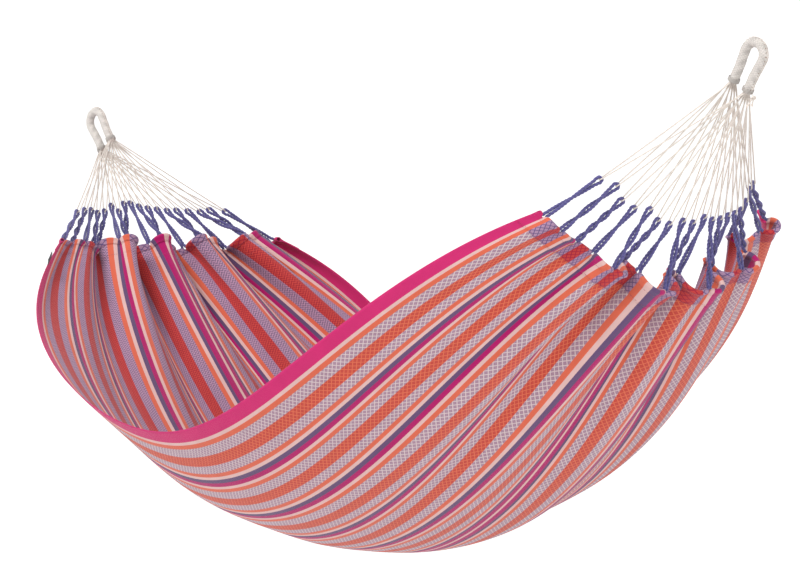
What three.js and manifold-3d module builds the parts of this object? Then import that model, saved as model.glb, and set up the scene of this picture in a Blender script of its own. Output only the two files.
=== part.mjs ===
// Woven cloth hammock without spreader bars, hanging between two end loops.
// Millimetres, +X along the hammock, +Z up. The origin is where the left loop sits on its hook.
import * as THREE from 'three';
import Module from 'manifold-3d';

const manifoldLibrary = await Module();
manifoldLibrary.setup();
const { Manifold, Mesh: ManifoldMesh } = manifoldLibrary;

// Driving dimensions
const SPAN = 2300;                // between the two hook seats
const CLOTH_WIDTH = 1600;         // cloth laid flat, selvedge to selvedge
const CLOTH_THICKNESS = 5;        // plain soft solid
const HEM_THICKNESS = 9;
const CORNER_REACH = 830;         // hem corner from the middle of the hammock, along X
const HEM_MIDDLE_REACH = 905;     // middle of the hem, along X
const CORNER_HEIGHT = -335;       // hem corners, below the hook seats
const SAG_HEIGHT = -1105;         // lowest line of the bed at mid-length
const SAG_SHARPNESS = 1.25;       // above 1 makes the sag line straighter towards the hems
const MIDDLE_HALF_ANGLE = 48;     // half of the angle that the bed's section turns through, degrees
const HEM_WIDTH = { left: 720, right: 800 };   // after gathering, corner to corner along its curve
const HEM_HALF_ANGLE = { left: 8, right: 48 };
const CREST_START = 0.72;         // the far selvedge flops over from this share of the half width
const CREST_ANGLE = 52;           // half of what its outer edge turns down through, degrees
const RUFFLE_COUNT = 5.5;         // waves across each gathered hem
const RUFFLE_HEIGHT = 42;         // of a wave at the hem, from its middle line
const RUFFLE_REACH = 1.6;         // power with which waves fade towards mid-length
const CALM_SHARE = 0.82;          // taken off the waves by the near selvedge, where the cloth lies flat
const CALM_FROM = 0.4;            // start and full strength of that calm, as shares of the half width
const CALM_FULL = 0.68;
const ROPE_RADIUS = 4;
const ROPE_LOOP = 140;            // rope from hem to the tip of its eye
const ROPE_STAND_OFF = 8;         // rope's centre line beyond the hem's edge
const CORD_RADIUS = 1.75;
const CORDS_PER_END = 18;
const OUTER_EXIT = 0.965;         // outermost rope exits, as a share of the half hem
const LOOP_BEND_RADIUS = 27;      // centre line of the end loop
const LOOP_LEG = 78.5;             // from the bend's centre to a mouth
const MOUTH_SPREAD = 23;          // half the distance between the two mouths of a loop
const SLEEVE_RADIUS = 11;
const SLEEVE_BORE = 9.6;
const CORE_RADIUS = 8.8;
const GAP = 0.3;

// Shares of the cloth's half length where the hems start
const HEM_START = 0.964;
const GAP_SHARE = 0.0012;

const CLOTH_STEPS = { along: 22, across: 44 };
const ROPE_SIDES = 8;
const SLEEVE_SIDES = 12;

const MIDDLE_X = SPAN / 2;
const degrees = THREE.MathUtils.degToRad;
const vector = (x, y, z) => new THREE.Vector3(x, y, z);

const COLOURS = {
  cloth: 0xd2605f,
  hem: 0xb04a6a,
  rope: 0x5f5a9b,
  cord: 0xd7cdc6,
  sleeve: 0xe1d9d4,
  label: 0x3a3d42,
};

function finish(colour, roughness) {
  return new THREE.MeshStandardMaterial({ color: colour, roughness, metalness: 0 });
}

function piece(name, geometry, colour, roughness = 0.9) {
  const mesh = new THREE.Mesh(geometry, finish(colour, roughness));
  mesh.name = name;
  return mesh;
}

// --- The bed's surface -----------------------------------------------------------------------

// How much the far selvedge flops over: only between the middle and the left hem.
function crestShare(along) {
  const ease = THREE.MathUtils.smoothstep;
  return ease(-along, 0, 0.45) * (1 - ease(-along, 0.6, 1));
}

// along runs from -1 at the left hem to 1 at the right hem,
// across from -1 at the near selvedge to 1 at the far one.
function smoothBed(along, across) {
  const share = Math.abs(along);
  const side = along < 0 ? 'left' : 'right';
  const middleAngle = degrees(MIDDLE_HALF_ANGLE);
  const hemAngle = degrees(HEM_HALF_ANGLE[side]);
  const halfAngle = middleAngle + (hemAngle - middleAngle) * share ** 2;
  const width = CLOTH_WIDTH + (HEM_WIDTH[side] - CLOTH_WIDTH) * share ** 3;
  const radius = width / 2 / halfAngle;
  const hemRadius = HEM_WIDTH[side] / 2 / hemAngle;
  const hemBottom = CORNER_HEIGHT - hemRadius * (1 - Math.cos(hemAngle));
  const rise = SAG_SHARPNESS * share ** 2 + (1 - SAG_SHARPNESS) * share ** 4;
  const bottom = SAG_HEIGHT + (hemBottom - SAG_HEIGHT) * rise;
  const reach = HEM_MIDDLE_REACH + (CORNER_REACH - HEM_MIDDLE_REACH) * across ** 2;
  const section = (place) => vector(
    MIDDLE_X + along * reach,
    radius * Math.sin(place * halfAngle),
    bottom + radius * (1 - Math.cos(place * halfAngle)),
  );
  if (across <= CREST_START) return section(across);
  const crest = section(CREST_START);
  const beyond = (across - CREST_START) / (1 - CREST_START);
  const turn = degrees(CREST_ANGLE) * crestShare(along) * beyond;
  const flopped = section(across).sub(crest).applyAxisAngle(vector(1, 0, 0), -turn);
  return flopped.add(crest);
}

function bedFrame(surface, along, across) {
  const step = 1e-3;
  const lengthwise = surface(along + step, across).sub(surface(along - step, across)).normalize();
  const sideways = surface(along, across + step).sub(surface(along, across - step)).normalize();
  const up = new THREE.Vector3().crossVectors(lengthwise, sideways).normalize();
  return { lengthwise, sideways, up };
}

// The gathered hems throw waves that fade out towards mid-length and by the near selvedge.
function bed(along, across) {
  const calm = CALM_SHARE * THREE.MathUtils.smoothstep(-across, CALM_FROM, CALM_FULL);
  const wave = Math.cos(Math.PI * RUFFLE_COUNT * across) * (1 - calm);
  const height = RUFFLE_HEIGHT * Math.abs(along) ** RUFFLE_REACH * wave;
  const { up } = bedFrame(smoothBed, along, across);
  return smoothBed(along, across).addScaledVector(up, height);
}

// A closed slab that follows the bed between two shares of its length.
function bedSlab(from, to, alongSteps, thickness) {
  const acrossSteps = CLOTH_STEPS.across;
  const positions = [];
  const indices = [];
  const row = acrossSteps + 1;
  const layer = row * (alongSteps + 1);
  for (const side of [1, -1]) {
    for (let i = 0; i <= alongSteps; i += 1) {
      const along = from + (to - from) * i / alongSteps;
      for (let j = 0; j <= acrossSteps; j += 1) {
        const across = -1 + 2 * j / acrossSteps;
        const { up } = bedFrame(bed, along, across);
        const point = bed(along, across).addScaledVector(up, side * thickness / 2);
        positions.push(point.x, point.y, point.z);
      }
    }
  }
  const quad = (a, b, c, d) => indices.push(a, b, c, a, c, d);
  for (let i = 0; i < alongSteps; i += 1) {
    for (let j = 0; j < acrossSteps; j += 1) {
      const a = i * row + j;
      quad(a, a + row, a + row + 1, a + 1);
      quad(layer + a, layer + a + 1, layer + a + row + 1, layer + a + row);
    }
    const near = i * row;
    const far = near + acrossSteps;
    quad(near, layer + near, layer + near + row, near + row);
    quad(far, far + row, layer + far + row, layer + far);
  }
  for (let j = 0; j < acrossSteps; j += 1) {
    const start = j;
    const end = alongSteps * row + j;
    quad(start, start + 1, layer + start + 1, layer + start);
    quad(end, layer + end, layer + end + 1, end + 1);
  }
  const geometry = new THREE.BufferGeometry();
  geometry.setAttribute('position', new THREE.Float32BufferAttribute(positions, 3));
  geometry.setIndex(indices);
  return geometry;
}

// --- Tubes along routes -----------------------------------------------------------------------

// A route through its own points, with its steps exactly at those points.
class Route extends THREE.Curve {
  constructor(points) {
    super();
    this.points = points;
  }

  getPoint(t) {
    const place = t * (this.points.length - 1);
    const index = Math.min(Math.floor(place), this.points.length - 2);
    return this.points[index].clone().lerp(this.points[index + 1], place - index);
  }

  getTangent(t) {
    const index = Math.round(t * (this.points.length - 1));
    const before = this.points[Math.max(index - 1, 0)];
    const here = this.points[index];
    const after = this.points[Math.min(index + 1, this.points.length - 1)];
    const tangent = here.clone().sub(before).normalize();
    return tangent.add(after.clone().sub(here).normalize()).normalize();
  }

  getUtoTmapping(u) {
    return u;
  }
}

function circle(radius, sides) {
  const corners = [];
  for (let i = 0; i < sides; i += 1) {
    const angle = 2 * Math.PI * i / sides;
    corners.push(new THREE.Vector2(radius * Math.cos(angle), radius * Math.sin(angle)));
  }
  return corners;
}

function tube(points, radius, sides, bore = 0) {
  const section = new THREE.Shape(circle(radius, sides));
  if (bore > 0) section.holes.push(new THREE.Path(circle(bore, sides)));
  const extrudePath = new Route(points);
  return new THREE.ExtrudeGeometry(section, { steps: points.length - 1, extrudePath });
}

// --- End loops --------------------------------------------------------------------------------

// Each end has its own frame: down its axis from the hook towards the bed, and out of that axis.
function endFrame(side) {
  const towardsMiddle = side === 'left' ? 1 : -1;
  const axisTilt = degrees(57);
  const axis = vector(towardsMiddle * Math.cos(axisTilt), 0, -Math.sin(axisTilt));
  const upper = vector(towardsMiddle * Math.sin(axisTilt), 0, Math.cos(axisTilt));
  const seat = vector(side === 'left' ? 0 : SPAN, 0, 0);
  // The hook touches the inside of the sleeve at the top of the bend.
  const bendDrop = LOOP_BEND_RADIUS - SLEEVE_RADIUS;
  const bendCentre = seat.clone().addScaledVector(axis, bendDrop);
  const mouthMiddle = bendCentre.clone().addScaledVector(axis, LOOP_LEG);
  return { side, towardsMiddle, axis, upper, bendCentre, mouthMiddle };
}

function loopRoute(end, overhang) {
  const points = [];
  const bendSteps = 10;
  const place = (out, down) => end.bendCentre.clone()
    .addScaledVector(end.upper, out)
    .addScaledVector(end.axis, down);
  points.push(place(MOUTH_SPREAD, LOOP_LEG + overhang));
  points.push(place(MOUTH_SPREAD, LOOP_LEG * 0.5));
  for (let i = 0; i <= bendSteps; i += 1) {
    const angle = Math.PI * i / bendSteps;
    points.push(place(LOOP_BEND_RADIUS * Math.cos(angle), -LOOP_BEND_RADIUS * Math.sin(angle)));
  }
  points.push(place(-MOUTH_SPREAD, LOOP_LEG * 0.5));
  points.push(place(-MOUTH_SPREAD, LOOP_LEG + overhang));
  return points;
}

function loopSleeve(end) {
  return tube(loopRoute(end, 0), SLEEVE_RADIUS, SLEEVE_SIDES, SLEEVE_BORE);
}

function loopCore(end) {
  const overhang = 4;
  return tube(loopRoute(end, overhang), CORE_RADIUS, SLEEVE_SIDES);
}

function mouthBinding(end, out) {
  const length = 12;
  const wall = 2.5;
  const bore = SLEEVE_RADIUS + GAP + 0.5;
  const bottom = end.mouthMiddle.clone().addScaledVector(end.upper, out * MOUTH_SPREAD);
  const top = bottom.clone().addScaledVector(end.axis, -length);
  return tube([top, bottom], bore + wall, SLEEVE_SIDES, bore);
}

// --- Joining solids ---------------------------------------------------------------------------

function toManifold(geometry) {
  const place = geometry.getAttribute('position');
  const triangles = geometry.index
    ? Uint32Array.from(geometry.index.array)
    : Uint32Array.from({ length: place.count }, (_, i) => i);
  const mesh = new ManifoldMesh({
    numProp: 3,
    vertProperties: Float32Array.from(place.array),
    triVerts: triangles,
  });
  mesh.merge();
  return new Manifold(mesh);
}

function fromManifold(solid) {
  const mesh = solid.getMesh();
  const geometry = new THREE.BufferGeometry();
  geometry.setAttribute('position', new THREE.BufferAttribute(mesh.vertProperties, 3));
  geometry.setIndex(new THREE.BufferAttribute(mesh.triVerts, 1));
  return geometry;
}

// The cord's tie at the right loop: a lump with two short free ends.
function tieKnot(end) {
  const knotRadius = 7;
  const tail = 26;
  const tailSpread = 9;
  const outside = MOUTH_SPREAD + SLEEVE_RADIUS + knotRadius + 4;
  const centre = end.mouthMiddle.clone().addScaledVector(end.upper, -outside);
  const lump = new THREE.SphereGeometry(knotRadius, 12, 8);
  lump.translate(centre.x, centre.y, centre.z);
  const parts = [toManifold(lump)];
  for (const sideways of [-1, 1]) {
    const tip = centre.clone().addScaledVector(end.axis, tail);
    tip.y += sideways * tailSpread;
    parts.push(toManifold(tube([centre.clone(), tip], CORD_RADIUS * 1.5, ROPE_SIDES)));
  }
  return fromManifold(Manifold.union(parts));
}

// --- Hem ropes and suspension cords -----------------------------------------------------------

function exitShare(index) {
  return OUTER_EXIT * (2 * index / (CORDS_PER_END - 1) - 1);
}

// Where one rope loop leaves the hem, and the line that it follows to the end loop.
function ropeStation(end, across) {
  const along = -end.towardsMiddle;
  const { lengthwise } = bedFrame(bed, along, across);
  const { sideways } = bedFrame(smoothBed, along, across);
  const outward = lengthwise.multiplyScalar(along);
  const base = bed(along, across).addScaledVector(outward, ROPE_STAND_OFF);
  const middleLine = smoothBed(along, across).addScaledVector(outward, ROPE_STAND_OFF);
  const pull = end.mouthMiddle.clone().sub(middleLine).normalize();
  const tip = middleLine.addScaledVector(pull, ROPE_LOOP);
  const spread = sideways.addScaledVector(pull, -sideways.dot(pull)).normalize();
  return { base, pull, tip, spread };
}

// One rope runs along the hem's edge and comes out as an eye at each station.
function hemRope(end) {
  const legSpread = ROPE_RADIUS + 0.6;
  const eyeRadius = 8;
  const points = [];
  for (let index = 0; index < CORDS_PER_END; index += 1) {
    const { base, pull, tip, spread } = ropeStation(end, exitShare(index));
    const place = (out, back) => tip.clone()
      .addScaledVector(pull, -back)
      .addScaledVector(spread, out);
    const onHem = (out) => base.clone().addScaledVector(spread, out);
    points.push(onHem(-legSpread));
    points.push(place(-legSpread, 3.5 * eyeRadius));
    points.push(place(-eyeRadius, eyeRadius));
    points.push(place(-0.6 * eyeRadius, 0));
    points.push(place(0.6 * eyeRadius, 0));
    points.push(place(eyeRadius, eyeRadius));
    points.push(place(legSpread, 3.5 * eyeRadius));
    points.push(onHem(legSpread));
    if (index < CORDS_PER_END - 1) {
      const between = (exitShare(index) + exitShare(index + 1)) / 2;
      points.push(ropeStation(end, between).base);
    }
  }
  return tube(points, ROPE_RADIUS, ROPE_SIDES);
}

// A cord comes out of one mouth, turns round the rope in its eye and goes back to the other mouth.
function suspensionCord(end, index) {
  const { pull, tip, spread } = ropeStation(end, exitShare(index));
  const rowPitch = 4.2;
  const placePitch = 1.25;
  const flexRoom = 16;
  const turnSteps = 6;
  const over = new THREE.Vector3().crossVectors(pull, spread).normalize();
  if (over.dot(end.upper) < 0) over.negate();
  const turnRadius = ROPE_RADIUS + CORD_RADIUS + GAP;
  // The leg starts a little below its own place in the mouth, where the cords stay free to flex.
  const start = (side) => {
    const inMouth = end.mouthMiddle.clone()
      .addScaledVector(end.upper, side * MOUTH_SPREAD + (index % 3 - 1) * rowPitch)
      .add(vector(0, (index - (CORDS_PER_END - 1) / 2) * placePitch, 0));
    const towardsEye = tip.clone().sub(inMouth).normalize();
    return inMouth.addScaledVector(towardsEye, flexRoom);
  };
  const points = [start(1)];
  for (let i = 0; i <= turnSteps; i += 1) {
    const angle = Math.PI * i / turnSteps;
    points.push(tip.clone()
      .addScaledVector(over, turnRadius * Math.cos(angle))
      .addScaledVector(pull, -turnRadius * Math.sin(angle)));
  }
  points.push(start(-1));
  return tube(points, CORD_RADIUS, ROPE_SIDES);
}

// --- Label ------------------------------------------------------------------------------------

function sideLabel() {
  const length = 46;
  const width = 16;
  const thickness = 1.2;
  const along = -0.93;
  const { lengthwise, sideways, up } = bedFrame(bed, along, -1);
  const label = new THREE.BoxGeometry(length, width, thickness);
  const basis = new THREE.Matrix4().makeBasis(lengthwise, up.clone().cross(lengthwise), up);
  const standOff = width / 2 + 3;
  const place = bed(along, -1).addScaledVector(sideways, -standOff);
  label.applyMatrix4(basis);
  label.translate(place.x, place.y, place.z);
  return label;
}

// --- Assembly ---------------------------------------------------------------------------------

function addEnd(hammock, side) {
  const end = endFrame(side);
  const hemSteps = 2;
  const hem = side === 'left'
    ? bedSlab(-1, -HEM_START - GAP_SHARE, hemSteps, HEM_THICKNESS)
    : bedSlab(HEM_START + GAP_SHARE, 1, hemSteps, HEM_THICKNESS);
  hammock.add(piece(`${side}_hem`, hem, COLOURS.hem));
  hammock.add(piece(`${side}_hem_rope`, hemRope(end), COLOURS.rope));
  for (let index = 0; index < CORDS_PER_END; index += 1) {
    const name = `${side}_cord_${String(index + 1).padStart(2, '0')}`;
    hammock.add(piece(name, suspensionCord(end, index), COLOURS.cord));
  }
  hammock.add(piece(`${side}_loop_core`, loopCore(end), COLOURS.cord));
  hammock.add(piece(`${side}_loop_sleeve`, loopSleeve(end), COLOURS.sleeve));
  hammock.add(piece(`${side}_binding_upper`, mouthBinding(end, 1), COLOURS.sleeve));
  hammock.add(piece(`${side}_binding_lower`, mouthBinding(end, -1), COLOURS.sleeve));
  return end;
}

const hammock = new THREE.Group();
const cloth = bedSlab(-HEM_START, HEM_START, CLOTH_STEPS.along, CLOTH_THICKNESS);
hammock.add(piece('bed_cloth', cloth, COLOURS.cloth));
addEnd(hammock, 'left');
const rightEnd = addEnd(hammock, 'right');
hammock.add(piece('tie_knot', tieKnot(rightEnd), COLOURS.cord));
hammock.add(piece('side_label', sideLabel(), COLOURS.label, 0.7));

export default hammock;
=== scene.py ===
import math
import bpy
import numpy as np
from mathutils import Matrix, Vector


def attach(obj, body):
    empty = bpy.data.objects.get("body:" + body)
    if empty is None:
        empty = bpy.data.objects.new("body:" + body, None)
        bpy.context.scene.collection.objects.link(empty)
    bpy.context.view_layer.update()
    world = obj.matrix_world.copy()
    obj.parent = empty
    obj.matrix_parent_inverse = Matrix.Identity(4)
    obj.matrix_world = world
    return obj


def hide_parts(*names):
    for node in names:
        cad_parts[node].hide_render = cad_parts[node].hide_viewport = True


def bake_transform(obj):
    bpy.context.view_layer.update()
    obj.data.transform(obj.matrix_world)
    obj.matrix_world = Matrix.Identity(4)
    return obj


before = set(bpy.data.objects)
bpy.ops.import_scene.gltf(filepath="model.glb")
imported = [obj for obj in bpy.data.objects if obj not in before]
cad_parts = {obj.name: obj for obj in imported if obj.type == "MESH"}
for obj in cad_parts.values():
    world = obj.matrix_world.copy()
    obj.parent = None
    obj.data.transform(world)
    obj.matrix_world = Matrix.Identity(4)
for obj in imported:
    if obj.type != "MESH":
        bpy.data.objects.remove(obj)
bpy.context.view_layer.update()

random = np.random.default_rng(7)

# ------------------------------------------------------------------------------------------------
# Sizes, in metres. +X runs along the hammock, +Z up, and the origin is the left hook seat.
SPAN = 2.3                    # between the two hook seats
CLOTH_WIDTH = 1.6
CLOTH_LENGTH = 2.3
CLOTH_THICK = 0.0014
CORNER_REACH = 0.830          # from the middle of the hammock to a hem corner, along X
HEM_REACH = 0.905             # and to the middle of a hem
CORNER_HEIGHT = -0.335
SAG = -1.105                  # lowest line of the bed
SAG_SHARPNESS = 1.25
MIDDLE_HALF_ANGLE = math.radians(48)   # half of what the bed's section turns through
HEM_WIDTH = {"left": 0.72, "right": 0.8}
HEM_HALF_ANGLE = {"left": math.radians(8), "right": math.radians(48)}
CREST_START = 0.72            # the far selvedge flops over from here outwards
CREST_ANGLE = math.radians(52)
RUFFLES = 5.5                 # waves across each hem
RUFFLE_HEIGHT = 0.042
RUFFLE_REACH = 1.6
CALM_SHARE = 0.82             # the cloth lies flat by the near selvedge
CALM_FROM, CALM_FULL = 0.4, 0.68
PINCH = {"left": 0.44, "right": 0.38}  # how far ruffles lean over, as a share of their height
CLOTH_SPARE = 1.3             # metres of cloth per metre of reach near a hem
FULL_STRETCH = 0.6            # metres per unit of across where the pleats have their full height
ROPE_RADIUS = 0.004
ROPE_LOOP = 0.140             # from the hem to the tip of an eye
ROPE_STAND_OFF = 0.008
ROPE_LAY = 0.026              # length of one turn of the strands
PAIR_HALF_GAP = 0.0038        # half the distance between the two legs of an eye
CORD_RADIUS = 0.00175
CORD_LAY = 0.0085
CORDS = 18
OUTER_EXIT = 0.965
LOOP_TILT = math.radians(57)
BEND_RADIUS = 0.027
LOOP_LEG = 0.0785
MOUTH_SPREAD = 0.023
SLEEVE_RADIUS = 0.0110
SLEEVE_BORE = 0.0093
LACE_RADIUS = 0.01155         # lacing, from the middle of the sleeve
WHIPPING_RADIUS = 0.01245
CORE_RING = 0.0054            # core strands, from the middle of the sleeve
CORE_LAY = 0.014
CAMERA_PLACE = (6.924, -5.324, -0.546)
CAMERA_YAW, CAMERA_PITCH, CAMERA_ROLL = 47.25, 0.38, -1.61
CAMERA_LENS = 148.95
FLOOR_GLOW = 0.5
AIR_GLOW = 0.46
EXITS = OUTER_EXIT * (2 * np.arange(CORDS) / (CORDS - 1) - 1)
ROPE_SLACK = {end: random.uniform(-0.012, 0.016, CORDS) for end in ("left", "right")}
ENDS = ("left", "right")


# ------------------------------------------------------------------------------------------------
# Camera and the soft surroundings
def place_camera():
    data = bpy.data.cameras.new("view")
    data.lens, data.sensor_width = CAMERA_LENS, 36.0
    data.clip_start, data.clip_end = 0.1, 200
    data.dof.use_dof = False
    camera = bpy.data.objects.new("view", data)
    bpy.context.scene.collection.objects.link(camera)
    yaw, pitch, roll = (math.radians(a) for a in (CAMERA_YAW, CAMERA_PITCH, CAMERA_ROLL))
    look = Vector((-math.sin(yaw) * math.cos(pitch), math.cos(yaw) * math.cos(pitch), math.sin(pitch)))
    right = Vector((math.cos(yaw), math.sin(yaw), 0))
    up = right.cross(look)
    turned = right * math.cos(roll) + up * math.sin(roll)
    upright = up * math.cos(roll) - right * math.sin(roll)
    matrix = Matrix((turned, upright, -look)).transposed().to_4x4()
    matrix.translation = CAMERA_PLACE
    camera.matrix_world = matrix
    bpy.context.scene.camera = camera


place_camera()
bpy.context.scene.view_settings.view_transform = "Standard"


# ------------------------------------------------------------------------------------------------
# Materials
def linear(*srgb):
    values = [v / 255 for v in srgb]
    return [v / 12.92 if v <= 0.04045 else ((v + 0.055) / 1.055) ** 2.4 for v in values] + [1.0]


class Nodes:
    """A material whose node graph is written as arithmetic."""

    def __init__(self, name, roughness, sheen=0.0):
        self.material = bpy.data.materials.new(name)
        self.material.use_nodes = True
        self.tree = self.material.node_tree
        self.tree.nodes.clear()
        self.shader = self.tree.nodes.new("ShaderNodeBsdfPrincipled")
        out = self.tree.nodes.new("ShaderNodeOutputMaterial")
        self.tree.links.new(self.shader.outputs[0], out.inputs["Surface"])
        self.shader.inputs["Roughness"].default_value = roughness
        self.shader.inputs["Sheen Weight"].default_value = sheen
        self.shader.inputs["Sheen Roughness"].default_value = 0.5
        self.shader.inputs["Specular IOR Level"].default_value = 0.25

    def wire(self, socket, value):
        if isinstance(value, bpy.types.NodeSocket):
            self.tree.links.new(value, socket)
        else:
            socket.default_value = value

    def math(self, operation, *values, clamp=False):
        node = self.tree.nodes.new("ShaderNodeMath")
        node.operation, node.use_clamp = operation, clamp
        for socket, value in zip(node.inputs, values):
            self.wire(socket, value)
        return node.outputs[0]

    def add(self, a, b):
        return self.math("ADD", a, b)

    def times(self, a, b):
        return self.math("MULTIPLY", a, b)

    def mix(self, factor, a, b):
        node = self.tree.nodes.new("ShaderNodeMix")
        node.data_type = "RGBA"
        for index, value in ((0, factor), (6, a), (7, b)):
            self.wire(node.inputs[index], value)
        return node.outputs[2]

    def scaled(self, colour, factor):
        node = self.tree.nodes.new("ShaderNodeVectorMath")
        node.operation = "SCALE"
        self.wire(node.inputs[0], colour)
        self.wire(node.inputs["Scale"], factor)
        return node.outputs[0]

    def ramp(self, factor, stops):
        node = self.tree.nodes.new("ShaderNodeValToRGB")
        ramp = node.color_ramp
        ramp.interpolation = "CONSTANT"
        while len(ramp.elements) < len(stops):
            ramp.elements.new(1.0)
        for element, (position, colour) in zip(ramp.elements, stops):
            element.position = position
            element.color = colour
        self.wire(node.inputs[0], factor)
        return node.outputs[0]

    def noise(self, vector, scale, detail=2.0):
        node = self.tree.nodes.new("ShaderNodeTexNoise")
        node.inputs["Scale"].default_value = scale
        node.inputs["Detail"].default_value = detail
        self.wire(node.inputs["Vector"], vector)
        return node.outputs["Fac"]

    def place(self):
        """Position before gathering or bending, in millimetres, then a share that pieces set for themselves."""
        node = self.tree.nodes.new("ShaderNodeAttribute")
        node.attribute_name = "laid_flat"
        split = self.tree.nodes.new("ShaderNodeSeparateXYZ")
        self.tree.links.new(node.outputs["Vector"], split.inputs[0])
        return node.outputs["Vector"], split.outputs[0], split.outputs[1], split.outputs[2]

    def triangle(self, value):
        """1 at whole numbers and 0 half way between them."""
        return self.math("ABSOLUTE", self.math("MULTIPLY_ADD", self.math("FRACT", value), 2.0, -1.0))

    def line(self, value, wide):
        """Near 1 on a line at each whole number."""
        scaled = self.math("SUBTRACT", self.triangle(value), 1 - wide)
        return self.math("MULTIPLY", scaled, 1.6 / wide, clamp=True)

    def bump(self, height, distance, strength=0.6):
        node = self.tree.nodes.new("ShaderNodeBump")
        node.inputs["Strength"].default_value = strength
        node.inputs["Distance"].default_value = distance
        self.wire(node.inputs["Height"], height)
        self.tree.links.new(node.outputs[0], self.shader.inputs["Normal"])

    def colour(self, value):
        self.wire(self.shader.inputs["Base Color"], value)
        return self.material


PINK = linear(196, 34, 104)
PALE = linear(214, 176, 172)
ORANGE = linear(210, 98, 72)
PURPLE = linear(94, 70, 108)
MAGENTA = linear(170, 6, 96)
UNIT = 83.0                  # one repeat of the stripes, in stripe steps
STEP_MM = 1.826              # width of one stripe step
BORDER = 32.0                # plain border at each selvedge, in stripe steps
CHEVRON_PITCH = (6.4, 9.1)   # along and across, millimetres
WAVE_PITCH = (5.2, 4.6)
LATTICE_PITCH = 13.7
WARP_PITCH, WEFT_PITCH = 1.15, 1.3
MIDDLE_STRIPE = (4.4, 21.0)  # from the middle line


def cloth_material(name, lilac, lilac_mark, coral, coral_mark, chevrons):
    """Lengthwise stripes, mirrored about the middle, with figured lilac and coral bands."""
    m = Nodes(name, 0.86, 0.18)
    where, u, v, _ = m.place()
    jitter = m.math("MULTIPLY_ADD", m.noise(where, 0.55), 1.1, -0.55)
    across = m.math("ABSOLUTE", m.add(v, jitter))
    inset = m.math("DIVIDE", m.math("SUBTRACT", 1000 * CLOTH_WIDTH / 2, across), STEP_MM)
    in_unit = m.math("FRACT", m.math("DIVIDE", m.math("SUBTRACT", inset, BORDER), UNIT))
    steps = ((0, lilac), (15, coral), (32, lilac), (46, ORANGE), (52.5, PALE), (57.5, PURPLE),
             (64.5, MAGENTA), (71.5, PALE), (76.5, ORANGE))
    stripes = m.ramp(in_unit, [(at / UNIT, colour) for at, colour in steps])
    border = m.ramp(m.math("DIVIDE", inset, BORDER),
                    [(0, PINK), (20 / BORDER, PALE), (25 / BORDER, ORANGE)])
    in_border = m.math("LESS_THAN", inset, BORDER)
    base = m.mix(in_border, stripes, border)
    near_middle = m.times(m.math("LESS_THAN", across, MIDDLE_STRIPE[1]),
                          m.math("GREATER_THAN", across, MIDDLE_STRIPE[0]))
    base = m.mix(near_middle, base, MAGENTA)

    off, on = [0, 0, 0, 1], [1, 1, 1, 1]
    lilac_band = m.ramp(in_unit, [(0, on), (15 / UNIT, off), (32 / UNIT, on), (46 / UNIT, off)])
    coral_band = m.ramp(in_unit, [(0, off), (15 / UNIT, on), (32 / UNIT, off)])
    inland = m.math("SUBTRACT", 1.0, in_border)
    lilac_band, coral_band = m.times(lilac_band, inland), m.times(coral_band, inland)
    sideways = m.times(in_unit, UNIT * STEP_MM)
    if chevrons:
        zigzag = m.add(m.math("DIVIDE", u, CHEVRON_PITCH[0]),
                       m.times(m.triangle(m.math("DIVIDE", sideways, CHEVRON_PITCH[1])), 0.9))
        mark = m.times(m.line(zigzag, 0.62), 0.95)
        second = m.add(m.math("DIVIDE", u, WAVE_PITCH[0]),
                       m.times(m.triangle(m.math("DIVIDE", sideways, WAVE_PITCH[1])), -0.4))
        mark = m.math("MAXIMUM", mark, m.times(m.line(second, 0.25), 0.4))
    else:
        one = m.math("DIVIDE", m.add(u, sideways), LATTICE_PITCH)
        other = m.math("DIVIDE", m.math("SUBTRACT", u, sideways), LATTICE_PITCH)
        mark = m.math("MAXIMUM", m.line(one, 0.27), m.line(other, 0.27))
        fine = m.math("MAXIMUM", m.line(m.math("MULTIPLY_ADD", one, 3.0, 0.5), 0.5),
                      m.line(m.math("MULTIPLY_ADD", other, 3.0, 0.5), 0.5))
        mark = m.math("MAXIMUM", mark, m.times(fine, 0.26))
    base = m.mix(m.times(mark, lilac_band), base, lilac_mark)
    base = m.mix(m.times(mark, coral_band), base, coral_mark)

    warp = m.math("SINE", m.times(v, 2 * math.pi / WARP_PITCH))
    weft = m.math("SINE", m.times(u, 2 * math.pi / WEFT_PITCH))
    threads = m.times(warp, weft)
    fleck = m.noise(where, 0.9, 3.0)
    shade = m.math("MULTIPLY_ADD", fleck, 0.22, 0.80)
    shade = m.add(shade, m.times(m.noise(where, 0.02), 0.16))
    shade = m.math("MULTIPLY_ADD", threads, 0.05, shade)
    raised = m.math("MULTIPLY_ADD", mark, 0.7, m.times(threads, 0.5))
    m.bump(m.add(raised, m.times(fleck, 0.5)), 0.0004)
    return m.colour(m.scaled(base, shade))


def yarn_material(name, dark, light, yarn_mm, sheen=0.25, groove=0.7, spots=None):
    """Spun or woven yarn: diagonal fibres, uneven dye and a little fuzz, with painted shade that darkens it
    below the share groove, in the hollows between strands and plaits.
    """
    m = Nodes(name, 0.88, sheen)
    where, u, v, fullness = m.place()
    fibres = m.math("SINE", m.times(m.add(u, m.times(v, 0.8)), 2 * math.pi / yarn_mm))
    uneven = m.noise(where, 0.35, 3.0)
    factor = m.math("MULTIPLY_ADD", fibres, 0.18, uneven)
    colour = m.mix(m.math("MULTIPLY", factor, 1.0, clamp=True), dark, light)
    # Painted shade: the colour darkens where the surface lies below the strand crests, in the grooves of laid
    # rope and cord and the under-strands and creases of the plaited sleeve.
    high = m.math("DIVIDE", m.math("SUBTRACT", fullness, groove), 1 - groove, clamp=True)
    colour = m.scaled(colour, m.math("MULTIPLY_ADD", high, 0.5, 0.55))
    if spots:
        # Painted shade: dark spots where the lacing holes are.
        colour = m.mix(spots(m, u, v), colour, EYELET_SHADE)
    m.bump(m.add(m.times(fibres, 0.5), uneven), 0.0003)
    return m.colour(colour)


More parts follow.
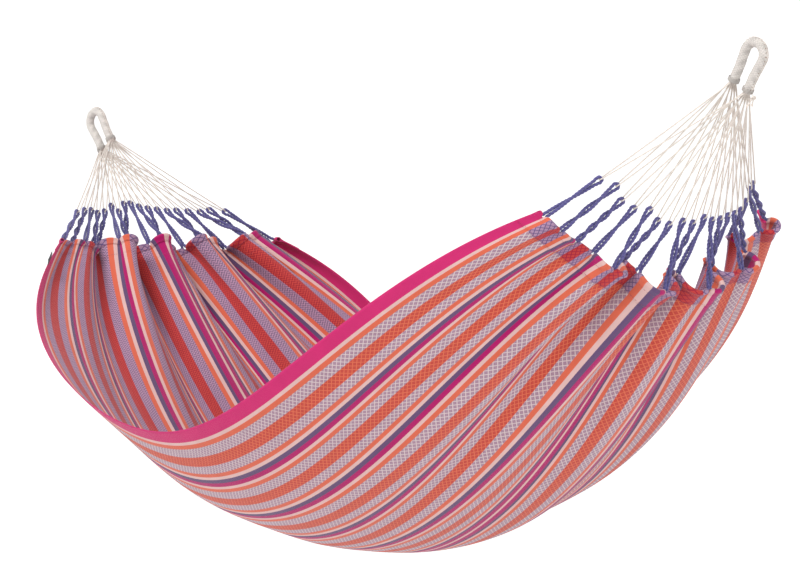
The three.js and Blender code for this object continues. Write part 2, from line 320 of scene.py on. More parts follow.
EYELET_PITCH, EYELET_ASIDE, EYELET_RADIUS = 7.0, 3.2, 0.95
# Colour of the painted shade inside the eyelet holes.
EYELET_SHADE = linear(120, 84, 60)


def eyelets(m, u, v):
    """Small holes in two rows along the laced seam, which runs where v is 0, painted as dark spots of shade,
    since the holes are not cut in the sleeve.
    """
    along = m.times(m.math("SUBTRACT", m.triangle(m.math("DIVIDE", u, EYELET_PITCH)), 1.0), EYELET_PITCH / 2)
    aside = m.math("SUBTRACT", m.math("ABSOLUTE", v), EYELET_ASIDE)
    away = m.math("SQRT", m.add(m.times(along, along), m.times(aside, aside)))
    return m.math("LESS_THAN", away, EYELET_RADIUS)


INSIDE = cloth_material("cloth_inside", linear(182, 142, 168), linear(96, 82, 112),
                        linear(196, 66, 60), linear(146, 30, 44), True)
OUTSIDE = cloth_material("cloth_outside", linear(148, 112, 136), linear(210, 194, 194),
                         linear(184, 56, 52), linear(212, 108, 74), False)
TURNED = cloth_material("cloth_turned", linear(172, 138, 164), linear(84, 66, 116),
                        linear(192, 60, 54), linear(146, 16, 52), False)
ROPE = yarn_material("rope_yarn", linear(66, 62, 112), linear(104, 98, 158), 1.6, 0.35, groove=0.35)
CORD = yarn_material("cord_yarn", linear(222, 210, 201), linear(244, 235, 226), 0.9, groove=0.3)
SLEEVE = yarn_material("sleeve_weave", linear(224, 215, 208), linear(248, 242, 236), 1.1, groove=0.86,
                       spots=eyelets)
THREAD = yarn_material("sewing_thread", linear(120, 40, 60), linear(168, 80, 92), 0.7)
LABEL = yarn_material("label_weave", linear(38, 40, 46), linear(62, 65, 72), 0.8)


# ------------------------------------------------------------------------------------------------
# Meshes
def add_mesh(name, vertices, faces, materials, indices=None, flat_place=None):
    """faces is a list of integer arrays, one row per face."""
    mesh = bpy.data.meshes.new(name)
    vertices = np.asarray(vertices, np.float64).reshape(-1, 3)
    faces = [np.atleast_2d(f) for f in faces if len(f)]
    corners = np.concatenate([f.ravel() for f in faces])
    sizes = np.concatenate([np.full(len(f), f.shape[1]) for f in faces])
    mesh.vertices.add(len(vertices))
    mesh.vertices.foreach_set("co", vertices.ravel())
    mesh.loops.add(len(corners))
    mesh.loops.foreach_set("vertex_index", corners.astype(np.int32))
    mesh.polygons.add(len(sizes))
    mesh.polygons.foreach_set("loop_start", np.concatenate([[0], np.cumsum(sizes)[:-1]]).astype(np.int32))
    mesh.update(calc_edges=True)
    mesh.polygons.foreach_set("use_smooth", np.ones(len(sizes), bool))
    for material in materials:
        mesh.materials.append(material)
    if indices is not None:
        mesh.polygons.foreach_set("material_index", np.asarray(indices, np.int32))
    if flat_place is not None:
        layer = mesh.attributes.new("laid_flat", "FLOAT_VECTOR", "POINT")
        layer.data.foreach_set("vector", np.asarray(flat_place, np.float32).ravel())
    mesh.validate()
    thing = bpy.data.objects.new(name, mesh)
    bpy.context.scene.collection.objects.link(thing)
    return thing


def unit(vectors):
    return vectors / np.maximum(np.linalg.norm(vectors, axis=-1, keepdims=True), 1e-12)


def resample(points, step):
    points = np.asarray(points, float)
    run = np.concatenate([[0], np.cumsum(np.linalg.norm(np.diff(points, axis=0), axis=1))])
    count = max(3, int(round(run[-1] / step)) + 1)
    at = np.linspace(0, run[-1], count)
    return np.stack([np.interp(at, run, points[:, k]) for k in range(3)], -1)


def smoothed(points, passes):
    points = points.copy()
    for _ in range(passes):
        points[1:-1] = (points[:-2] + 2 * points[1:-1] + points[2:]) / 4
    return points


def frames_along(path, first=None):
    """Tangent, normal and side at each point, with the least possible turning between them."""
    tangents = unit(np.gradient(path, axis=0))
    start = np.array([0.0, 1.0, 0.0]) if first is None else np.asarray(first, float)
    normal = start - tangents[0] * start.dot(tangents[0])
    if np.linalg.norm(normal) < 0.1:
        normal = np.cross(tangents[0], [1.0, 0.0, 0.3])
    normals = [normal / np.linalg.norm(normal)]
    for k in range(1, len(path)):
        n = normals[-1] - tangents[k] * normals[-1].dot(tangents[k])
        normals.append(n / np.linalg.norm(n))
    normals = np.array(normals)
    return tangents, normals, np.cross(tangents, normals)


def tube_parts(path, radius, sides, offset=0, first=None):
    """A closed tube. radius is a number or a function of run (metres) and angle."""
    _, normals, side = frames_along(path, first)
    run = np.concatenate([[0], np.cumsum(np.linalg.norm(np.diff(path, axis=0), axis=1))])[:, None]
    angle = (2 * np.pi * np.arange(sides) / sides)[None, :]
    r = radius(run, angle) if callable(radius) else np.full((len(path), sides), radius)
    ring = normals[:, None] * np.cos(angle)[..., None] + side[:, None] * np.sin(angle)[..., None]
    vertices = (path[:, None] + ring * r[..., None]).reshape(-1, 3)
    signed = np.where(angle > np.pi, angle - 2 * np.pi, angle)
    place = np.stack(np.broadcast_arrays(run * 1000, signed * r * 1000, r / r.max()), -1).reshape(-1, 3)
    i = np.arange(len(path) - 1)[:, None] * sides
    j, k = np.arange(sides)[None, :], (np.arange(sides)[None, :] + 1) % sides
    quads = np.stack([i + j, i + k, i + sides + k, i + sides + j], -1).reshape(-1, 4) + offset
    last = (len(path) - 1) * sides
    caps = np.array([np.arange(sides)[::-1], last + np.arange(sides)]) + offset
    return vertices, quads, caps, place


def add_tubes(name, tubes, material):
    """tubes is a list of (path, radius, sides), joined into one piece."""
    vertices, faces, places, offset = [], [], [], 0
    for path, radius, sides in tubes:
        v, quads, caps, place = tube_parts(np.asarray(path), radius, sides, offset)
        vertices.append(v)
        faces += [quads, caps]
        places.append(place)
        offset += len(v)
    return add_mesh(name, np.concatenate(vertices), faces, [material], None, np.concatenate(places))


def laid(radius, strands, pitch, softness=0.62):
    """The outline of a rope of that many strands twisted together."""
    ratio = math.sin(math.pi / strands)
    place = radius / (1 + ratio)
    strand = radius - place

    def outline(run, angle):
        turn = (angle - 2 * np.pi * run / pitch) * strands / (2 * np.pi)
        away = (turn - np.round(turn)) * 2 * np.pi / strands
        inside = np.maximum(strand**2 - (place * np.sin(away)) ** 2, 0)
        return np.maximum(place * np.cos(away) + np.sqrt(inside), softness * radius)

    return outline


# ------------------------------------------------------------------------------------------------
# The bed's surface. along runs -1..1 from the left hem to the right, across -1..1 near to far.
def ease(value):
    value = np.clip(value, 0, 1)
    return value * value * (3 - 2 * value)


def smooth_bed(along, across):
    along, across = np.broadcast_arrays(np.asarray(along, float), np.asarray(across, float))
    share = np.abs(along)
    hem = np.where(along < 0, HEM_HALF_ANGLE["left"], HEM_HALF_ANGLE["right"])
    hem_width = np.where(along < 0, HEM_WIDTH["left"], HEM_WIDTH["right"])
    half = MIDDLE_HALF_ANGLE + (hem - MIDDLE_HALF_ANGLE) * share**2
    width = CLOTH_WIDTH + (hem_width - CLOTH_WIDTH) * share**3
    radius = width / 2 / half
    hem_bottom = CORNER_HEIGHT - hem_width / 2 / hem * (1 - np.cos(hem))
    rise = SAG_SHARPNESS * share**2 + (1 - SAG_SHARPNESS) * share**4
    bottom = SAG + (hem_bottom - SAG) * rise
    reach = HEM_REACH + (CORNER_REACH - HEM_REACH) * across**2
    y, z = radius * np.sin(across * half), bottom + radius * (1 - np.cos(across * half))
    crest_y = radius * np.sin(CREST_START * half)
    crest_z = bottom + radius * (1 - np.cos(CREST_START * half))
    beyond = np.maximum(across - CREST_START, 0) / (1 - CREST_START)
    crest = ease(-along / 0.45) * (1 - ease((-along - 0.6) / 0.4))
    turn = np.where(beyond > 0, CREST_ANGLE * crest * beyond, 0)
    out, rise_out = y - crest_y, z - crest_z
    y = crest_y + out * np.cos(turn) + rise_out * np.sin(turn)
    z = crest_z + rise_out * np.cos(turn) - out * np.sin(turn)
    return np.stack([SPAN / 2 + along * reach, y, z], -1)


def surface_frame(surface, along, across, reach=1e-3):
    lengthwise = unit(surface(along + reach, across) - surface(along - reach, across))
    raw = surface(along, across + reach) - surface(along, across - reach)
    stretch = np.linalg.norm(raw, axis=-1) / (2 * reach)
    up = unit(np.cross(lengthwise, raw))
    return lengthwise, np.cross(up, lengthwise), up, stretch


def calm(across):
    """Share of the ruffles' height that is left: little of it by the near selvedge."""
    return 1 - CALM_SHARE * ease((-across - CALM_FROM) / (CALM_FULL - CALM_FROM))


def folded_bed(along, across):
    """Big ruffles: broad crests and pinched valleys, crests inwards at the left and outwards at the right."""
    along, across = np.broadcast_arrays(np.asarray(along, float), np.asarray(across, float))
    share = np.abs(along)
    _, sideways, up, _ = surface_frame(smooth_bed, along, across)
    inward = np.where(along < 0, 1.0, -1.0)
    phase = np.pi * RUFFLES * across
    height = RUFFLE_HEIGHT * share**RUFFLE_REACH * calm(across)
    lean = np.where(along < 0, PINCH["left"], PINCH["right"]) * inward
    pinch = lean * height * np.sin(phase) * (1 - across**6)
    return (smooth_bed(along, across) + up * (height * np.cos(phase))[..., None]
            + sideways * pinch[..., None])


def make_creases():
    """Long narrow valleys that run in from each hem and die out towards the middle."""
    creases = []
    for inward in (1, -1):
        places = np.linspace(-0.88, 0.88, 13) + random.uniform(-0.05, 0.05, 13)
        for place in places:
            creases.append((inward, place, random.uniform(0.006, 0.018), random.uniform(0.018, 0.032),
                            random.uniform(0.14, 0.46), random.uniform(-0.09, 0.09)))
    return creases


CREASES = make_creases()
RIPPLES = [(random.uniform(4, 16), random.uniform(0, 6.28), random.uniform(-1.4, 1.4),
            random.uniform(0.0006, 0.0018)) for _ in range(9)]
PLEAT_HEIGHT = 0.0105
PLEAT_FADE = 0.15


def bed(along, across):
    """The cloth's middle surface with every fold."""
    along, across = np.broadcast_arrays(np.asarray(along, float), np.asarray(across, float))
    share = np.abs(along)
    _, sideways, up, stretch = surface_frame(folded_bed, along, across)
    inward = np.where(along < 0, 1.0, -1.0)
    from_hem = np.maximum(1 - share, -0.05) * HEM_REACH * CLOTH_SPARE
    room = np.clip(stretch / FULL_STRETCH, 0.05, 1.0)
    phase = np.pi * (CORDS - 1) * (across / OUTER_EXIT + 1)
    pleat = PLEAT_HEIGHT * np.exp(-from_hem / PLEAT_FADE) * room * (0.4 + 0.6 * calm(across))
    out = -inward * pleat * np.cos(phase)
    slide = -0.5 * pleat * np.sin(phase) * (1 - across**8)
    for side, place, depth, wide, fade, drift in CREASES:
        here = inward == side
        centre = place + drift * from_hem
        spread = wide * (1 + 1.6 * from_hem / fade)
        strength = here * depth * np.exp(-((from_hem / fade) ** 2)) * (1 - np.exp(-from_hem / 0.03))
        t = (across - centre) / spread
        profile = strength * np.exp(-t * t) * room
        out = out - inward * profile
        slide = slide - 0.6 * t * profile
    for count, start, lean, height in RIPPLES:
        out = out + height * np.sin(count * across + start + lean * along * 3) * (1 - share**2)
    return (folded_bed(along, across) + up * out[..., None] + sideways * slide[..., None])


def bed_frame(along, across):
    lengthwise, sideways, up, _ = surface_frame(bed, along, across, 8e-4)
    return lengthwise, sideways, up


def hem_sign(end):
    return -1 if end == "left" else 1


def hem_point(end, across, outward, outside):
    """A point that far beyond the hem's edge (negative: inland) and that far out of the cloth's outside."""
    across, outward, outside = np.broadcast_arrays(across, outward, outside)
    sign = hem_sign(end)
    metres_per_along = 1.48
    along = sign * (1 + np.minimum(outward, 0) / metres_per_along)
    lengthwise, _, up = bed_frame(along, across)
    beyond = np.maximum(outward, 0)[..., None]
    return bed(along, across) + lengthwise * sign * beyond - up * outside[..., None]


# ------------------------------------------------------------------------------------------------
# End frames, as in the hanging geometry
def end_frame(end):
    to_middle = 1 if end == "left" else -1
    axis = np.array([to_middle * math.cos(LOOP_TILT), 0, -math.sin(LOOP_TILT)])
    upper = np.array([to_middle * math.sin(LOOP_TILT), 0, math.cos(LOOP_TILT)])
    seat = np.array([0.0 if end == "left" else SPAN, 0, 0])
    bend = seat + axis * (BEND_RADIUS - SLEEVE_RADIUS)
    return axis, upper, bend, bend + axis * LOOP_LEG


FRAMES = {end: end_frame(end) for end in ENDS}


def rope_tip(end, index):
    sign = hem_sign(end)
    across = EXITS[index]
    _, _, _, mouth = FRAMES[end]
    lengthwise, sideways, _, _ = surface_frame(smooth_bed, float(sign), across)
    line = smooth_bed(float(sign), across) + lengthwise * sign * ROPE_STAND_OFF
    pull = unit(mouth - line)
    spread = unit(sideways - pull * sideways.dot(pull))
    return line + pull * (ROPE_LOOP + ROPE_SLACK[end][index]), pull, spread


# ------------------------------------------------------------------------------------------------
# Suspension cords
def bowed(start, stop, bow):
    share = np.linspace(0, 1, 24)[:, None]
    return start + (stop - start) * share + bow * 4 * share * (1 - share)


def cord_path(end, index):
    axis, upper, _, mouth = FRAMES[end]
    tip, pull, spread = rope_tip(end, index)
    over = unit(np.cross(pull, spread))
    if over.dot(upper) < 0:
        over = -over
    turn = ROPE_RADIUS + CORD_RADIUS + 0.0003

    def leg(side):
        place = mouth + upper * (side * MOUTH_SPREAD + (index % 3 - 1) * 0.0026)
        place = place + np.array([0, (index - (CORDS - 1) / 2) * 0.00080, 0])
        fan = upper * (index % 3 - 1) * 0.0008 + np.array([0, (index - (CORDS - 1) / 2) * 0.00025, 0])
        return place - axis * 0.012, place, place + unit(tip - place) * 0.016 + fan

    angle = np.linspace(0, np.pi, 13)[:, None]
    eye = tip + over * turn * np.cos(angle) - pull * turn * np.sin(angle)
    deep, lip, below = leg(1)
    deep_2, lip_2, below_2 = leg(-1)
    bow = [np.array([random.normal(0, 0.0006), random.normal(0, 0.0008), -abs(random.normal(0, 0.0012))])
           for _ in range(2)]
    points = np.concatenate([[deep, lip], bowed(below, eye[0], bow[0]), eye[1:-1],
                             bowed(eye[-1], below_2, bow[1]), [lip_2, deep_2]])
    return smoothed(resample(points, 0.0015), 3)


def add_cords(end):
    for index in range(CORDS):
        path = cord_path(end, index)
        name = f"{end}_suspension_cord_{index + 1:02d}"
        cord = add_tubes(name, [(path, laid(CORD_RADIUS, 3, CORD_LAY, softness=0.5), 12)], CORD)
        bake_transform(cord)
        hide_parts(f"{end}_cord_{index + 1:02d}")


# ------------------------------------------------------------------------------------------------
# Hem ropes: one rope per end, led out of the hem as a twisted pair with an eye for each cord
TUNNEL_OUT = 0.005


def rope_path(end):
    points = []

    def in_tunnel(across):
        return hem_point(end, np.asarray(across, float), np.float64(TUNNEL_OUT), np.float64(0))

    for index, across in enumerate(EXITS):
        tip, pull, spread = rope_tip(end, index)
        side = np.cross(pull, spread)
        opening = 0.012
        feet = in_tunnel(np.array([across - opening, across + opening]))
        foot = (feet[0] + feet[1]) / 2
        start = foot + unit(tip - foot) * 0.012
        stop = tip - pull * 0.022
        share = np.linspace(0, 1, 25)[:, None]
        turns = (0.5, 1, 1.5)[(index + (end == "left")) % 3]
        twist = 2 * np.pi * turns * share**0.9
        flip = math.cos(2 * np.pi * turns)
        middle = start + (stop - start) * share
        lean = PAIR_HALF_GAP * (-spread * np.cos(twist) + side * np.sin(twist))
        eye = ((0.016, 0.0046), (0.010, 0.0060), (0.005, 0.0064), (0.0012, 0.0046), (0.0, 0.0016))
        rise = [tip - pull * back - spread * aside * flip for back, aside in eye]
        fall = [tip - pull * back + spread * aside * flip for back, aside in eye[::-1]]
        points += [feet[0]] + list(middle + lean) + rise + fall + list((middle - lean)[::-1]) + [feet[1]]
        if index < CORDS - 1:
            inner = np.linspace(across + 0.02, EXITS[index + 1] - 0.02, 9)
            points += list(in_tunnel(inner))
    return smoothed(resample(points, 0.0016), 4)


def add_rope(end):
    path = rope_path(end)
    outline = laid(ROPE_RADIUS, 3, ROPE_LAY, softness=0.66)
    rope = add_tubes(f"{end}_gathering_rope", [(path, outline, 15)], ROPE)
    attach(rope, "bed")
    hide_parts(f"{end}_hem_rope")


for end in ENDS:
    add_cords(end)
    add_rope(end)


# ------------------------------------------------------------------------------------------------
# Cloth
ALONG_STEPS = 232
ACROSS_STEPS = 212


def add_cloth():
    t = np.linspace(-1, 1, ALONG_STEPS + 1)
    along = (t * (1 + 0.3 * (1 - t * t)))[:, None]
    across = np.linspace(-1, 1, ACROSS_STEPS + 1)[None, :]
    middle = bed(along, across)
    _, _, up = bed_frame(along + 0 * across, across + 0 * along)
    inner, outer = middle + up * CLOTH_THICK / 2, middle - up * CLOTH_THICK / 2
    rows, columns = middle.shape[:2]
    index = np.arange(rows * columns).reshape(rows, columns)
    below = index + rows * columns
    a, b, c, d = index[:-1, :-1], index[1:, :-1], index[1:, 1:], index[:-1, 1:]
    top = np.stack([a, b, c, d], -1).reshape(-1, 4)
    bottom = np.stack([a, d, c, b], -1).reshape(-1, 4) + rows * columns

    def rim(low, high):
        return np.stack([low[:-1], low[1:], high[1:], high[:-1]], -1)

    rims = np.concatenate([rim(below[:, 0], index[:, 0]), rim(index[:, -1], below[:, -1]),
                           rim(index[0], below[0]), rim(below[-1], index[-1])])
    u = np.broadcast_to(along * 1000 * CLOTH_LENGTH / 2, (rows, columns))
    v = np.broadcast_to(across * 1000 * CLOTH_WIDTH / 2, (rows, columns))
    place = np.stack([u, v, 0 * u], -1).reshape(-1, 3)
    indices = np.concatenate([np.zeros(len(top)), np.ones(len(bottom)), np.ones(len(rims))])
    cloth = add_mesh("hammock_cloth", np.concatenate([inner.reshape(-1, 3), outer.reshape(-1, 3)]),
                     [top, bottom, rims], [INSIDE, OUTSIDE], indices, np.concatenate([place, place]))
    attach(cloth, "bed")
    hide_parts("bed_cloth")
    return cloth


# The hem's section: a tunnel round the rope and a band turned to the outside, in millimetres as
# (beyond the cloth's edge, out of the cloth's outside).
def hem_section():
    tunnel = np.array([1000 * TUNNEL_OUT, 0.0])

    def arc(radius, first, last, count):
        angle = np.radians(np.linspace(first, last, count))
        return tunnel + radius * np.stack([np.cos(angle), np.sin(angle)], -1)

    lip = [(-10, -0.8), (-10, -1.8), (-6, -2.1), (-2, -3.3)]
    outside = [(-2.2, 3.7), (-6, 2.9), (-12, 2.5), (-20, 2.4), (-28, 2.4), (-36, 2.4), (-43, 2.4),
               (-47, 2.3), (-48, 1.6), (-47, 0.85), (-36, 0.85), (-24, 0.9), (-12, 1.0), (-5, 1.2)]
    return np.concatenate([lip, arc(6.0, -118, 118, 15), outside, arc(4.7, 128, -128, 11),
                           [(-3, -1.0)]]) / 1000


def add_hem(end):
    section = hem_section()
    across = np.linspace(-1, 1, 433)
    nearest = np.abs(across[:, None] - EXITS[None, :]).min(axis=1)
    notch = 0.0092 * np.exp(-((nearest / 0.0125) ** 2))
    forward = np.clip((section[:, 0] + 0.004) / 0.010, 0, 1)
    outward = section[None, :, 0] - notch[:, None] * forward[None, :]
    slack = 0.0004 * np.sin(across * 90 + 3 * np.sin(across * 23))[:, None]
    lift = section[None, :, 1] + slack * (section[None, :, 1] > 0.0015) * (section[None, :, 0] < -0.004)
    points = hem_point(end, np.broadcast_to(across[:, None], outward.shape), outward, lift)
    count = len(section)
    i, k = np.arange(len(across) - 1)[:, None] * count, np.arange(count)[None, :]
    after = (k + 1) % count
    quads = np.stack([i + k, i + after, i + count + after, i + count + k], -1).reshape(-1, 4)
    caps = np.array([np.arange(count)[::-1], (len(across) - 1) * count + np.arange(count)])
    if end == "left":
        quads, caps = quads[:, ::-1], caps[:, ::-1]
    run = np.concatenate([[0], np.cumsum(np.linalg.norm(np.diff(section, axis=0), axis=1))]) * 1000
    place = np.stack(np.broadcast_arrays(run[None, :], across[:, None] * 800, 0.0), -1).reshape(-1, 3)
    hem = add_mesh(f"{end}_turned_hem", points.reshape(-1, 3), [quads, caps], [TURNED], None, place)
    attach(hem, "bed")
    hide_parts(f"{end}_hem")
    return hem


def add_stitches(name, rows, material, sides=5):
    """rows is a list of (from, to, raised) arrays: one small raised thread per stitch."""
    a = np.concatenate([r[0] for r in rows])
    b = np.concatenate([r[1] for r in rows])
    out = unit(np.concatenate([r[2] for r in rows]))
    thick = 0.00042
    along = unit(b - a)
    side = unit(np.cross(along, out))
    angle = 2 * np.pi * np.arange(sides) / sides
    vertices = [a[:, None] - out[:, None] * 0.0004]
    for share, width, raised in ((0.1, 0.75, 0.0), (0.5, 1.0, 0.00035), (0.9, 0.75, 0.0)):
        middle = a + (b - a) * share + out * raised
        ring = side[:, None] * np.cos(angle)[None, :, None] + out[:, None] * np.sin(angle)[None, :, None]
        vertices.append(middle[:, None] + ring * thick * width)
    vertices.append(b[:, None] - out[:, None] * 0.0004)
    vertices = np.concatenate(vertices, axis=1)
    per = vertices.shape[1]
    j = np.arange(sides)
    k = (j + 1) % sides
    tips = np.concatenate([np.stack([0 * j, 1 + k, 1 + j], -1),
                           np.stack([0 * j + per - 1, 1 + 2 * sides + j, 1 + 2 * sides + k], -1)])
    bands = np.concatenate([np.stack([1 + r * sides + j, 1 + r * sides + k, 1 + (r + 1) * sides + k,
                                      1 + (r + 1) * sides + j], -1) for r in (0, 1)])
    base = (np.arange(len(a)) * per)[:, None, None]
    place = np.broadcast_to(np.arange(per) * 0.4, (len(a), per))
    place = np.stack([place, 0 * place, 1 + 0 * place], -1).reshape(-1, 3)
    return add_mesh(name, vertices.reshape(-1, 3), [(bands[None] + base).reshape(-1, 4),
                    (tips[None] + base).reshape(-1, 3)], [material], None, place)


def stitch_row(end, outward, outside, pitch=0.0050, size=0.0034):
    half = CLOTH_WIDTH / 2
    across = np.arange(-0.992, 0.992, pitch / half)
    first = hem_point(end, across, np.float64(outward), np.float64(outside))
    last = hem_point(end, across + size / half, np.float64(outward), np.float64(outside))
    above = hem_point(end, across, np.float64(outward), np.float64(outside + math.copysign(0.001, outside)))
    return first, last, above - first


def add_hem_stitches(end):
    rows = [stitch_row(end, -0.0445, 0.00245), stitch_row(end, -0.0090, 0.00275),
            stitch_row(end, -0.0075, -0.0020), stitch_row(end, -0.0440, -0.0008)]
    stitches = add_stitches(f"{end}_hem_stitching", rows, THREAD)
    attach(stitches, "bed")
    return stitches


cloth = add_cloth()
with_cloth = []
for end in ENDS:
    with_cloth += [add_hem(end), add_hem_stitches(end)]


# ------------------------------------------------------------------------------------------------
# End loops
def loop_route(end, overhang):
    axis, upper, bend, _ = FRAMES[end]
    points = [(MOUTH_SPREAD, LOOP_LEG + overhang), (MOUTH_SPREAD, LOOP_LEG * 0.75),
              (MOUTH_SPREAD, LOOP_LEG * 0.5)]
    for angle in np.linspace(0, np.pi, 33):
        points.append((BEND_RADIUS * math.cos(angle), -BEND_RADIUS * math.sin(angle)))
    points += [(-out, down) for out, down in points[2::-1]]
    return smoothed(resample([bend + upper * out + axis * down for out, down in points], 0.0011), 10)


def woven(run, angle):
    """A plaited sleeve: strands over and under each other, a seam ridge, and soft creases."""
    one = run / 0.0058 + angle * 7 / (2 * np.pi)
    other = run / 0.0058 - angle * 7 / (2 * np.pi)
    over = (np.floor(one) + np.floor(other)) % 2
    plait = np.where(over > 0, np.abs(np.sin(np.pi * one)), np.abs(np.sin(np.pi * other)))
    signed = np.where(angle > np.pi, angle - 2 * np.pi, angle)
    seam = 0.0006 * np.exp(-((signed / 0.16) ** 2))
    crease = 0.00035 * np.sin(run * 260 + 2 * np.sin(angle)) * np.cos(angle)
    return SLEEVE_RADIUS - 0.0011 + 0.0010 * plait + seam + crease


def add_loop(end):
    axis, upper, _, mouth = FRAMES[end]
    route = loop_route(end, 0.0)
    outside_first = upper
    v, quads, _, place = tube_parts(route, woven, 48, 0, outside_first)
    inner, inner_quads, _, inner_place = tube_parts(route, SLEEVE_BORE, 48, len(v), outside_first)
    inner_quads = inner_quads[:, ::-1]
    j = np.arange(48)
    k = (j + 1) % 48
    n = len(v)
    last = (len(route) - 1) * 48
    rims = np.concatenate([np.stack([j, n + j, n + k, k], -1),
                           np.stack([last + j, last + k, n + last + k, n + last + j], -1)])
    sleeve = add_mesh(f"{end}_woven_sleeve", np.concatenate([v, inner]), [quads, inner_quads, rims], [SLEEVE],
                      None, np.concatenate([place, inner_place]))
    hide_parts(f"{end}_loop_sleeve")

    _, normals, side = frames_along(route, outside_first)
    steps = np.arange(5, len(route) - 5)
    run = np.concatenate([[0], np.cumsum(np.linalg.norm(np.diff(route, axis=0), axis=1))])[steps]
    aside = EYELET_ASIDE / 1000 * (2 * np.abs(2 * ((run * 1000 / EYELET_PITCH) % 1) - 1) - 1)
    lace_path = route[steps] + normals[steps] * LACE_RADIUS + side[steps] * aside[:, None]
    lace = add_tubes(f"{end}_sleeve_lacing", [(resample(lace_path, 0.0009), laid(0.0007, 2, 0.004), 8)], CORD)

    core_route = loop_route(end, 0.004)
    _, core_out, core_side = frames_along(core_route, outside_first)
    core_run = np.concatenate([[0], np.cumsum(np.linalg.norm(np.diff(core_route, axis=0), axis=1))])
    strands = [(core_route[::3], laid(0.0026, 3, CORE_LAY), 12)]
    for number in range(6):
        turn = 2 * np.pi * (number / 6 + core_run / 0.11)[:, None]
        strands.append(((core_route + CORE_RING * (core_out * np.cos(turn) + core_side * np.sin(turn)))[::3],
                        laid(0.0027, 3, CORE_LAY), 12))
    core = add_tubes(f"{end}_core_strands", strands, CORD)
    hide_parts(f"{end}_loop_core")
    pieces = [(sleeve, "sleeve"), (lace, "sleeve"), (core, "cord")]

    for word, sign in (("upper", 1), ("lower", -1)):
        centre = mouth + upper * sign * MOUTH_SPREAD
        across = np.array([0.0, 1.0, 0.0])
        turns = 4.6
        share = np.linspace(0, 1, 230)[:, None]
        angle = 2 * np.pi * turns * share + 0.6 * sign
        ring = upper * np.cos(angle) + across * np.sin(angle)
        coil = centre - axis * (0.0013 + 0.0095 * share) + WHIPPING_RADIUS * ring
        binding = add_tubes(f"{end}_mouth_whipping_{word}", [(coil, laid(0.00118, 2, 0.006), 10)], SLEEVE)
        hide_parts(f"{end}_binding_{word}")
        pieces.append((binding, "sleeve"))
    for piece, slot in pieces:
        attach(piece, "end_loops")


def add_tie_knot():
    axis, upper, _, mouth = FRAMES["right"]
    centre = mouth - upper * (MOUTH_SPREAD + SLEEVE_RADIUS + 0.011)
    y = np.array([0.0, 1.0, 0.0])
    t = np.linspace(0, 2 * np.pi, 150)[:, None]
    scale = 0.0017
    knot = centre + scale * ((np.sin(t) + 2 * np.sin(2 * t)) * upper + (np.cos(t) - 2 * np.cos(2 * t)) * y
                             - 1.5 * np.sin(3 * t) * axis)
    tubes = [(knot, laid(0.0017, 3, 0.008), 12)]
    lip = mouth - upper * MOUTH_SPREAD
    lead = np.array([lip - axis * 0.006 + upper * 0.002, lip + axis * 0.006,
                     lip + axis * 0.011 - upper * 0.008, lip + axis * 0.007 - upper * 0.016,
                     centre + axis * 0.002])
    tubes.append((smoothed(resample(lead, 0.001), 12), laid(0.0015, 3, 0.0085), 12))
    for sign in (-1, 1):
        stop = centre + axis * 0.014 + y * sign * 0.005
        tubes.append((resample([centre, centre + axis * 0.007 + y * sign * 0.003, stop], 0.001),
                      laid(0.0016, 3, 0.008), 12))
        for fibre in range(16):
            swirl = 2 * np.pi * fibre / 16
            fan = upper * math.cos(swirl) + y * math.sin(swirl)
            way = unit(axis * 0.011 + y * sign * 0.004)
            reach = random.uniform(0.006, 0.012)
            path = [stop - way * 0.001 + fan * 0.0007,
                    stop + way * reach * 0.5 + fan * random.uniform(0.0008, 0.0022),
                    stop + way * reach + fan * random.uniform(0.0015, 0.0045)]
            tubes.append((smoothed(resample(path, 0.001), 3), 0.00028, 5))
    knot = add_tubes("frayed_tie_knot", tubes, CORD)
    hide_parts("tie_knot")
    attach(knot, "end_loops")


def add_label():
    """A blank woven tag folded over the near selvedge."""
    place = -0.93
    lengthwise, sideways, up = (f.reshape(3) for f in bed_frame(np.float64(place), np.float64(-1.0)))
    corner = bed(place, -1.0).reshape(3)
    tag_out = -sideways
    rows, columns = 25, 17
    s = np.linspace(-1, 1, rows)[:, None]
    w = np.linspace(0, 1, columns)[None, :]
    curl = 0.0012 * np.sin(w * 2.2) + 0.0006 * np.sin(s * 2.4)
    ridge = 0.00018 * np.cos(s * 60) * np.cos(w * 25)
    edge = np.sqrt(np.clip(1 - w**10, 0, 1)) * np.sqrt(np.clip(1 - s**16, 0, 1))
    layers = []
    for sign in (1, -1):
        lift = curl + sign * (0.00055 * edge + 0.00012) + sign * ridge * edge
        layers.append(corner + lengthwise * (s * 0.023)[..., None] + tag_out * (0.017 * w - 0.001)[..., None]
                      + up * lift[..., None])
    index = np.arange(rows * columns).reshape(rows, columns)
    n = rows * columns
    a, b, c, d = index[:-1, :-1], index[1:, :-1], index[1:, 1:], index[:-1, 1:]
    top, bottom = np.stack([a, d, c, b], -1).reshape(-1, 4), np.stack([a, b, c, d], -1).reshape(-1, 4) + n

    def rim(low, high):
        return np.stack([low[:-1], low[1:], high[1:], high[:-1]], -1)

    rims = np.concatenate([rim(index[:, 0], index[:, 0] + n), rim(index[:, -1] + n, index[:, -1]),
                           rim(index[0] + n, index[0]), rim(index[-1], index[-1] + n)])
    flat = np.stack(np.broadcast_arrays(s * 23, w * 17, 1.0), -1).reshape(-1, 3)
    label = add_mesh("blank_side_label", np.concatenate([l.reshape(-1, 3) for l in layers]),
                     [top, bottom, rims], [LABEL], None, np.concatenate([flat, flat]))
    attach(label, "bed")
    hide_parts("side_label")


for end in ENDS:
    add_loop(end)
add_tie_knot()
add_label()


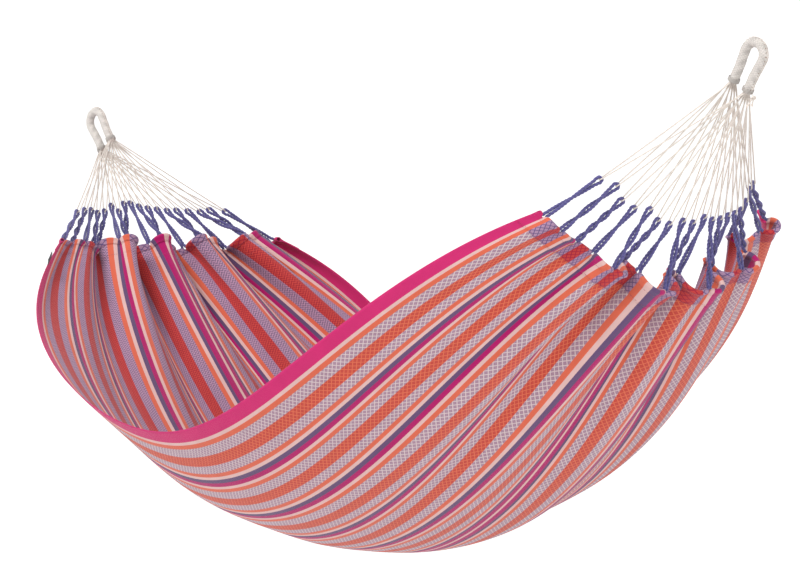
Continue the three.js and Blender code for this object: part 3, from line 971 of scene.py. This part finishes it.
# ------------------------------------------------------------------------------------------------
# Studio
def add_studio():
    floor_height, flat_radius, wall_radius, wall_top = -1.9, 24.0, 42.0, 20.0
    profile = [(0.01, floor_height), (2.5, floor_height), (6.5, floor_height), (flat_radius, floor_height)]
    rise = wall_radius - flat_radius
    for angle in np.linspace(0, np.pi / 2, 17)[1:]:
        profile.append((flat_radius + rise * math.sin(angle), floor_height + rise * (1 - math.cos(angle))))
    profile.append((wall_radius, wall_top))
    turns = 96
    angle = 2 * np.pi * np.arange(turns) / turns
    rings = [np.stack([SPAN / 2 + r * np.cos(angle), r * np.sin(angle), 0 * angle + z], -1)
             for r, z in profile]
    i = np.arange(len(profile) - 1)[:, None] * turns
    j = np.arange(turns)[None, :]
    k = (j + 1) % turns
    quads = np.stack([i + j, i + turns + j, i + turns + k, i + k], -1).reshape(-1, 4)
    pale = Nodes("studio_floor", 0.9)
    pale.colour([0.86, 0.86, 0.86, 1])
    pale.shader.inputs["Emission Color"].default_value = (1, 1, 1, 1)
    _, _, _, glow = pale.place()
    pale.wire(pale.shader.inputs["Emission Strength"], pale.math("MULTIPLY", glow, FLOOR_GLOW))
    # The floor glows less under the hammock, so that its underside keeps some shade.
    glows = [0.25, 0.25] + [1] * (len(profile) - 2)
    place = np.zeros((len(rings), turns, 3))
    place[..., 2] = np.array(glows)[:, None]
    place = place.reshape(-1, 3)
    floor = add_mesh("studio_floor", np.concatenate(rings), [quads, np.arange(turns)[None, :]],
                     [pale.material], None, place)

    def lamp(name, place, size, power):
        data = bpy.data.lights.new(name, "AREA")
        data.shape, data.size, data.energy = "DISK", size, power
        thing = bpy.data.objects.new(name, data)
        bpy.context.scene.collection.objects.link(thing)
        aim = Vector((1.15, 0, -0.65)) - Vector(place)
        thing.matrix_world = Matrix.Translation(place) @ aim.to_track_quat("-Z", "Y").to_matrix().to_4x4()

    lamp("key", (0.6, -4.4, 4.4), 2.8, 290)
    lamp("fill", (6.5, -1.0, 1.6), 3.0, 70)
    lamp("rim", (-3.0, 3.5, 3.6), 3.5, 110)
    world = bpy.data.worlds.new("studio_air")
    world.use_nodes = True
    world.node_tree.nodes["Background"].inputs[0].default_value = (1, 1, 1, 1)
    world.node_tree.nodes["Background"].inputs[1].default_value = AIR_GLOW
    bpy.context.scene.world = world


add_studio()
